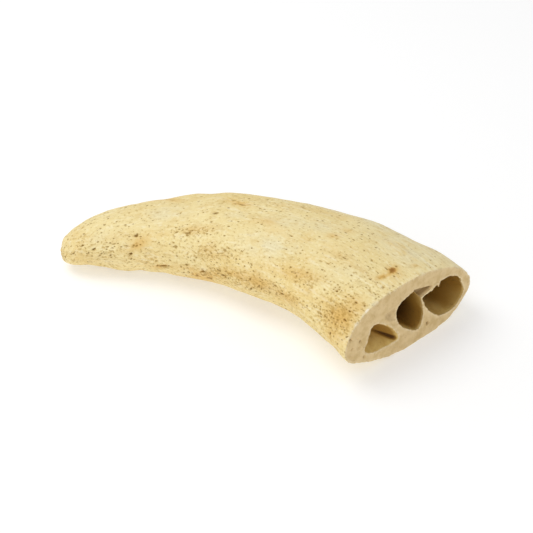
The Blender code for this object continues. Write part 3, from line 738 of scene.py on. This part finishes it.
def recess_rings():
    """Points along the recess's edge, halfway down its wall and at the wall's foot."""
    outline = np.array(RECESS_OUTLINE) * MM
    rings = []
    for inset in (RECESS_EDGE, 0.45 * RECESS_WALL, RECESS_WALL):
        for a, b in zip(outline, np.roll(outline, -1, axis=0)):
            along = b - a
            inward = np.array([along[1], -along[0]]) / np.linalg.norm(along)
            shares = np.arange(0, 1, RING_STEP / np.linalg.norm(along))[:, None]
            ring = a + shares * along + inset * inward
            rings.append(ring[inside_outline(ring, RECESS_OUTLINE) > inset - 0.01 * MM])
    return np.concatenate(rings)


def spacing(points, others, chunk=64):
    """How far each point is from the nearest of the others."""
    gap = np.full(len(points), 1.0)
    for start in range(0, len(others), chunk):
        part = others[start : start + chunk]
        gap = np.minimum(gap, np.linalg.norm(points[:, None] - part[None], axis=2).min(axis=1))
    return gap


def strew(low, high, others):
    """Points over the saw cut, and how far each is from the others."""
    rng = np.random.default_rng(FACE_SEED)
    steps = [np.arange(low[axis], high[axis], FACE_STEP) for axis in (0, 1)]
    across, up = np.meshgrid(*steps, indexing="ij")
    strewn = np.stack([across.ravel(), up.ravel()], axis=-1)
    strewn += rng.uniform(-FACE_JITTER, FACE_JITTER, strewn.shape) * FACE_STEP
    rings = recess_rings()
    strewn = np.concatenate([rings, strewn[spacing(strewn, rings) > RING_MARGIN]])
    gap = spacing(strewn, others)
    free = gap > FACE_MARGIN
    return strewn[free], gap[free]


def add_sawn(bone, surface, places, spare):
    """Adds points of the saw cut, sunk as it is there, with painted shade in its dents, recess and facet,
    and edges paler from wear and painted highlight.
    """
    sink = cut_sink(places)
    across, up = places[:, 0], places[:, 1]
    recess = inside_outline(places, RECESS_OUTLINE)
    # Painted shade: darker in the saw cut's dents the deeper they are, on the recess's floor and on the
    # facet
    pit = smooth_step(sink, 0.45 * MM, 1.2 * MM) * (recess < -0.2 * MM)
    pit = np.maximum(pit, RECESS_SHADE * smooth_step(recess, RECESS_EDGE, 0.2 * RECESS_WALL))
    pit = np.maximum(pit, FACET_SHADE * (inside_outline(places, FACET_OUTLINE) > 0))
    # Paler near the rim and the mouths: wear and painted highlight
    edge = np.exp(-((spare / EDGE_WEAR_AND_HIGHLIGHT) ** 2)) * (sink < 0.5 * MM)
    points = surface.cut_centre + np.stack([-sink, across, up - BELLY_SINK], axis=-1)
    return bone.add(points, np.stack([-sink, across, up], axis=-1), sawn=1.0, pit=pit, edge=edge)


def cut_face(bone, surface, rim, mouths):
    """The sawn face: points strewn between the rim and the mouths, joined by triangles."""
    rim_loop = surface.grid[0][:, 1:] - surface.cut_centre[1:] + [0, BELLY_SINK]
    loops = [rim_loop] + [loop for _, loop in mouths]
    points = np.concatenate(loops)
    numbers = np.concatenate([rim] + [row for row, _ in mouths])
    edges = []
    for loop in loops:
        ring = np.arange(len(edges), len(edges) + len(loop))
        edges.extend(np.stack([ring, np.roll(ring, -1)], axis=-1).tolist())
    strewn, gap = strew(rim_loop.min(axis=0), rim_loop.max(axis=0), points)
    every = [Vector(point) for point in np.concatenate([points, strewn]).tolist()]
    made, _, faces, origins, _, _ = delaunay_2d_cdt(every, edges, [], 1, 1e-7)
    fresh = [i for i, source in enumerate(origins) if not source or source[0] >= len(points)]
    spare = np.array([gap[origins[i][0] - len(points)] if origins[i] else 0.0 for i in fresh])
    given = add_sawn(bone, surface, np.array([made[i][:] for i in fresh]), spare)
    lookup = dict(zip(fresh, given))
    new_numbers = [lookup[i] if i in lookup else numbers[source[0]] for i, source in enumerate(origins)]
    middles = np.array([np.mean([made[i][:] for i in face], axis=0) for face in faces])
    open_ones = np.any([within(middles, loop) for _, loop in mouths], axis=0)
    kept = [face for face, is_open in zip(faces, open_ones) if not is_open]
    bone.faces.extend([[int(new_numbers[i]) for i in face] for face in kept])


def add_chamber(bone, surface, chamber, seed):
    """Adds a chamber's walls, and gives its first row and its mouth's outline."""
    mouth = smooth_loop(chamber["mouth"]) * MM
    loops = chamber_loops(chamber, mouth, seed)
    broken = ragged(mouth, MOUTH_SEED + seed)
    shallowest = -cut_sink(broken)
    rows = []
    for number, (loop, deep, points, shade) in enumerate(loops[:-1]):
        share = MOUTH_FADE[number] if number < len(MOUTH_FADE) else 0.0
        loop[:, 1:] += (broken - mouth) * share
        loop[:, 0] = np.minimum(loop[:, 0], shallowest - number * 0.1 * MM)
        unbent = np.stack([np.full(len(points), deep), points[:, 0], points[:, 1]], axis=-1)
        # Pale mouth edges: wear and painted highlight
        edge = MOUTH_WEAR_AND_HIGHLIGHT[number] if number < len(MOUTH_WEAR_AND_HIGHLIGHT) else 0.0
        # "deep" carries the painted shade of the walls beyond the mouth
        masks = {"deep": shade + (number > 0), "sawn": number == 0, "edge": edge}
        rows.append(bone.add(loop + surface.cut_centre, unbent, **masks))
    end = loops[-1][0].mean(axis=0) + surface.cut_centre
    bone.strip(rows)
    bone.fan(rows[-1], bone.add(end[None], surface.tip_unbent[None], deep=2.0)[0])
    return rows[0], broken


def build_bone():
    """The bone's mesh, and the camera of the photograph."""
    bone = Bone()
    surface = Surface()
    camera = photo_camera(surface.cut_centre)
    surface.look(camera)
    surface.mark()
    rows = []
    for i, (points, unbent) in enumerate(zip(surface.grid, surface.unbent)):
        masks = {name: mask[i] for name, mask in surface.masks.items()}
        rows.append(bone.add(points, unbent, **masks))
    tip = bone.add(surface.tip[None], surface.tip_unbent[None])
    bone.strip(rows)
    bone.fan(rows[-1], tip[0])
    numbered = enumerate(CHAMBERS.values(), start=CHAMBER_SEED)
    mouths = [add_chamber(bone, surface, chamber, seed) for seed, chamber in numbered]
    cut_face(bone, surface, rows[0], mouths)
    return bone, camera


def photo_camera(cut_centre):
    """Where the photograph was taken from, and its directions."""
    a, e = math.radians(AZIMUTH), math.radians(ELEVATION)
    back = np.array([math.sin(a) * math.cos(e), -math.cos(a) * math.cos(e), math.sin(e)])
    right = np.array([math.cos(a), math.sin(a), 0])
    return {
        "place": cut_centre + TARGET_FROM_CUT + back * DISTANCE,
        "forward": -back,
        "right": right,
        "up": np.cross(back, right),
    }


def new_object(name, data):
    made = bpy.data.objects.new(name, data)
    bpy.context.scene.collection.objects.link(made)
    return made


def make_object(bone, name):
    points = np.concatenate(bone.points)
    mesh = bpy.data.meshes.new(name)
    mesh.from_pydata(points.tolist(), [], bone.faces)
    mesh.update()
    for key, rows in bone.values.items():
        layer = mesh.attributes.new(key, "FLOAT", "POINT")
        layer.data.foreach_set("value", np.concatenate(rows).astype(np.float32))
    layer = mesh.attributes.new("unbent", "FLOAT_VECTOR", "POINT")
    layer.data.foreach_set("vector", np.concatenate(bone.unbent).astype(np.float32).ravel())
    return new_object(name, mesh)


def tidy_mesh(made):
    """No loose points, faces outward, and smooth but for the edges of the saw cut."""
    work = bmesh.new()
    work.from_mesh(made.data)
    loose = [point for point in work.verts if not point.link_faces]
    bmesh.ops.delete(work, geom=loose, context="VERTS")
    bmesh.ops.recalc_face_normals(work, faces=work.faces)
    work.to_mesh(made.data)
    work.free()
    made.data.shade_smooth()
    made.data.set_sharp_from_angle(angle=math.radians(SHARP_ANGLE))


class Shader:
    """A material's nodes, added one call at a time."""

    def __init__(self, name):
        self.material = bpy.data.materials.new(name)
        self.material.use_nodes = True
        self.tree = self.material.node_tree
        self.inputs = self.tree.nodes["Principled BSDF"].inputs

    def node(self, kind, inputs=None, **settings):
        made = self.tree.nodes.new(kind)
        for key, value in settings.items():
            setattr(made, key, value)
        for key, value in (inputs or {}).items():
            self.feed(made.inputs[key], value)
        return made

    def feed(self, socket, value):
        """Links an output to a socket, or sets it to a value or a named colour."""
        if isinstance(value, bpy.types.NodeSocket):
            self.tree.links.new(value, socket)
        else:
            socket.default_value = linear(COLOURS[value]) if isinstance(value, str) else value

    def math(self, operation, *values, clamp=False):
        inputs = dict(enumerate(values))
        return self.node("ShaderNodeMath", inputs, operation=operation, use_clamp=clamp).outputs[0]

    def plus(self, a, b):
        return self.math("ADD", a, b)

    def minus(self, a, b):
        return self.math("SUBTRACT", a, b)

    def times(self, a, b, clamp=False):
        return self.math("MULTIPLY", a, b, clamp=clamp)

    def attribute(self, name, output="Fac"):
        return self.node("ShaderNodeAttribute", attribute_name=name).outputs[output]

    def mapped(self, vector, scale):
        return self.node("ShaderNodeMapping", {"Vector": vector, "Scale": scale}).outputs[0]

    def noise(self, vector, name):
        scale, detail, roughness = TEXTURES[name]
        inputs = {"Vector": vector, "Scale": scale, "Detail": detail, "Roughness": roughness}
        return self.node("ShaderNodeTexNoise", inputs).outputs["Fac"]

    def ramp(self, value, low, high, **more):
        """0 at low and 1 at high, unless more says otherwise."""
        inputs = {"Value": value, "From Min": low, "From Max": high, **more}
        made = self.node("ShaderNodeMapRange", inputs, interpolation_type="SMOOTHSTEP")
        return made.outputs["Result"]

    def mix(self, share, first, second):
        made = self.node("ShaderNodeMix", data_type="RGBA")
        for socket, value in zip((0, 6, 7), (share, first, second)):
            self.feed(made.inputs[socket], value)
        return made.outputs[2]


def pores(shader, place, scale, size, rarity):
    """Dark dots: 1 in a pore, 0 between. Only some cells have one, fewer where rarity is high."""
    cells = shader.node("ShaderNodeTexVoronoi", {"Vector": place, "Scale": scale, "Randomness": 1.0})
    random = shader.node("ShaderNodeSeparateColor", {"Color": cells.outputs["Color"]})
    radius = shader.math("MULTIPLY_ADD", random.outputs[1], size * 0.7, size * 0.45)
    inner = shader.times(radius, 0.55)
    dot = shader.ramp(cells.outputs["Distance"], inner, radius, **{"To Min": 1.0, "To Max": 0.0})
    there = shader.math("GREATER_THAN", random.outputs[0], rarity)
    return shader.times(dot, there)


def bone_material():
    """Cream bone, whitish or stained in places, with fibres, grit, pores and pits."""
    shader = Shader("bone")
    mix, ramp, plus, minus, times = shader.mix, shader.ramp, shader.plus, shader.minus, shader.times
    place = shader.attribute("unbent", "Vector")
    grain = shader.mapped(place, (0.14, 1.0, 1.0))
    squat = shader.mapped(place, (0.55, 1.0, 1.0))
    pit, stain, porous, pale, sawn, edge, deep = (shader.attribute(name) for name in MASKS)
    clouds = shader.noise(place, "clouds")
    patches = shader.noise(squat, "patches")
    mottle = shader.noise(squat, "mottle")
    fibres = shader.noise(grain, "fibres")
    grit = shader.noise(squat, "grit")

    # The clean bone
    skin = mix(ramp(clouds, 0.36, 0.66), "cream", "buff")
    skin = mix(times(ramp(patches, 0.50, 0.70), 0.5), skin, "yellow")
    skin = mix(times(ramp(mottle, 0.52, 0.70), 0.45), skin, "dull")
    whitish = times(pale, ramp(mottle, 0.68, 0.42))
    skin = mix(times(whitish, 0.7), skin, "whitish")
    across = shader.node("ShaderNodeSeparateXYZ", {"Vector": place}).outputs[1]
    skin = mix(times(ramp(across, 0.012, 0.034), 0.5), skin, "far side")
    skin = mix(times(ramp(fibres, 0.45, 0.32), 0.5), skin, "fibres")
    skin = mix(times(ramp(grit, 0.46, 0.34), 0.5), skin, "glints")

    # Stains, streaks and grit
    ragged_stain = times(stain, ramp(patches, 0.26, 0.56))
    skin = mix(times(ragged_stain, 0.85, clamp=True), skin, "ochre")
    broken = plus(times(mottle, 0.6), times(grit, 0.9))
    brown = minus(plus(stain, broken), 1.72)
    skin = mix(times(brown, 2.0, clamp=True), skin, "brown")
    skin = mix(times(ramp(fibres, 0.55, 0.72), 0.24), skin, "streaks")
    gritty = ramp(plus(grit, times(porous, 0.14)), 0.60, 0.74)
    skin = mix(times(gritty, 0.6), skin, "grit")

    # Pores and pits
    smooth = shader.math("MULTIPLY_ADD", pale, 0.18, 0.93)
    fine = pores(shader, squat, 980.0, 0.4, minus(smooth, times(porous, 0.62)))
    coarse = pores(shader, squat, 340.0, 0.22, minus(smooth, times(porous, 0.36)))
    dots = shader.math("MAXIMUM", fine, coarse)
    skin = mix(times(dots, 0.72), skin, "pores")
    # Pits and gouges darken with their depth: their own colour and painted shade
    in_pits_and_shade = ramp(pit, 0.15, 0.9)
    skin = mix(times(in_pits_and_shade, 0.85), skin, "pits")

    # The saw cut and the chambers
    cut_noise = shader.noise(place, "cut")
    cut = mix(ramp(cut_noise, 0.35, 0.68), "cut", "cut grain")
    cut = mix(times(ramp(grit, 0.60, 0.72), 0.25), cut, "freckles")
    # Painted shade in the saw cut's dents, recess and facet
    cut = mix(in_pits_and_shade, cut, "painted hollow shade")
    colour = mix(ramp(sawn, 0.25, 0.75), skin, cut)
    inside = mix(ramp(cut_noise, 0.35, 0.7), "chamber", "chamber grain")
    # Painted shade inside the chambers: darker towards the back, in the crease and on the wall towards the
    # convex edge, lighter on the floor
    inside = mix(ramp(deep, 1.03, 1.26), inside, "gloom")
    inside = mix(ramp(deep, 1.22, 1.75), inside, "dark")
    colour = mix(ramp(deep, 0.25, 1.0), colour, inside)

    # Edges paler from wear and painted highlight, and pale flakes
    wear_and_highlight = times(edge, ramp(grit, 0.62, 0.40))
    colour = mix(times(wear_and_highlight, 0.6, clamp=True), colour, "wear_and_highlight")
    colour = mix(times(ramp(pale, 1.08, 1.4), 0.65), colour, "flakes")
    shader.feed(shader.inputs["Base Color"], colour)

    relief = plus(times(fibres, 0.6), times(mottle, 0.5))
    relief = minus(minus(minus(relief, times(grit, 0.35)), times(gritty, 0.35)), dots)
    bump = shader.node("ShaderNodeBump", {"Strength": 0.6, "Distance": 0.0004, "Height": relief})
    shader.feed(shader.inputs["Normal"], bump.outputs[0])
    shader.feed(shader.inputs["Roughness"], shader.math("MULTIPLY_ADD", grit, 0.2, 0.6))
    shader.feed(shader.inputs["Specular IOR Level"], 0.3)
    return shader.material


def set_camera(camera):
    data = bpy.data.cameras.new("photo camera")
    data.lens = LENS
    data.sensor_width = SENSOR
    data.clip_start = 0.01
    made = new_object("photo camera", data)
    axes = Matrix((camera["right"], camera["up"], -camera["forward"])).transposed()
    made.matrix_world = Matrix.Translation(camera["place"]) @ axes.to_4x4()
    bpy.context.scene.camera = made


def area_light(name, from_camera, aim, size, power):
    data = bpy.data.lights.new(name, "AREA")
    data.shape = "DISK"
    data.size = size
    data.energy = power
    made = new_object(name, data)
    right, away, up = from_camera
    a = math.radians(AZIMUTH)
    made.location = (right * math.cos(a) - away * math.sin(a), right * math.sin(a) + away * math.cos(a), up)
    made.rotation_euler = (Vector(aim) - made.location).to_track_quat("-Z", "Y").to_euler()


def set_stage():
    """A pale floor, a plain sky and soft lights."""
    mesh = bpy.data.meshes.new("floor")
    corners = [(x * FLOOR_REACH, y * FLOOR_REACH, 0) for x, y in ((-1, -1), (1, -1), (1, 1), (-1, 1))]
    mesh.from_pydata(corners, [], [(0, 1, 2, 3)])
    floor = new_object("floor", mesh)
    shader = Shader("floor")
    shader.feed(shader.inputs["Base Color"], (FLOOR_GREY, FLOOR_GREY, FLOOR_GREY, 1))
    shader.feed(shader.inputs["Roughness"], 0.95)
    shader.feed(shader.inputs["Emission Color"], (1, 1, 1, 1))
    shader.feed(shader.inputs["Emission Strength"], FLOOR_GLOW)
    mesh.materials.append(shader.material)
    world = bpy.data.worlds.new("studio")
    world.use_nodes = True
    background = world.node_tree.nodes["Background"]
    background.inputs["Color"].default_value = (1, 1, 1, 1)
    background.inputs["Strength"].default_value = SKY_GLOW
    bpy.context.scene.world = world
    for light in LIGHTS:
        area_light(*light)


def main():
    bone, camera = build_bone()
    made = make_object(bone, "horn_core_skin")
    tidy_mesh(made)
    made.data.materials.append(bone_material())
    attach(made, "root")
    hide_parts("horn_core")
    set_camera(camera)
    set_stage()
    bpy.context.scene.view_settings.view_transform = "Standard"


main()
